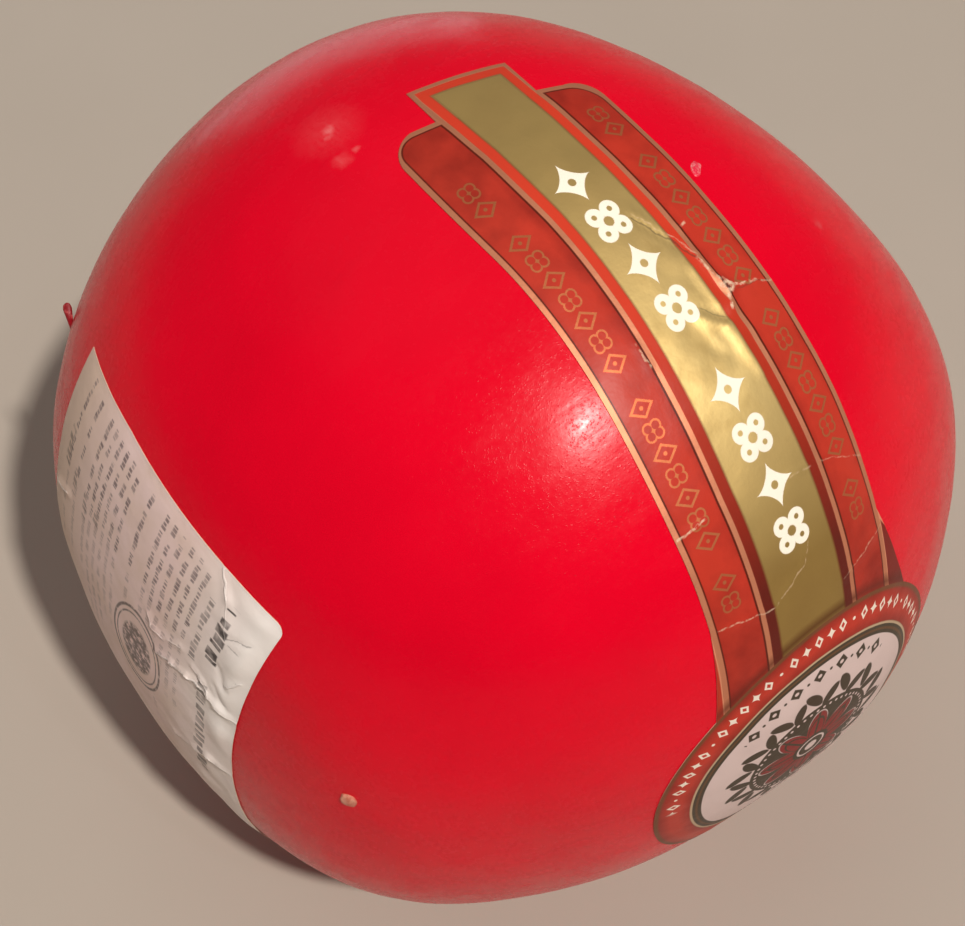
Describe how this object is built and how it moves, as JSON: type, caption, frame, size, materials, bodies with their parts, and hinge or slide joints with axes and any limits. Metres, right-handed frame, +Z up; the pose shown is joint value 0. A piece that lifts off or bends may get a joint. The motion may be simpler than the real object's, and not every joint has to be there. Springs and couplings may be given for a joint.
{
  "type": "ball of cheese",
  "caption": "Round pressed cheese in a red wax coat, lying on its side, with a ribbon-and-medallion paper label over its front and a white ingredients label on one flat end.",
  "frame": {"origin": "middle of the base of the bounding box, on the surface that the cheese lies on", "axes": "+Z up; -Y is the way the medallion faces; the two flat ends of the cheese face -X and +X, with the ingredients label on the -X end"},
  "size_m": [0.139, 0.1408, 0.1465],
  "materials": {
    "wax": "satin-gloss red cheese wax",
    "ribbon_paper": "coated paper printed in dark red, olive gold and cream",
    "white_paper": "creased white paper with grey print"
  },
  "bodies": {
    "root": {"cheese_ball": "wax", "ribbon_label": "ribbon_paper", "ingredients_label": "white_paper"}
  },
  "joints": []
}
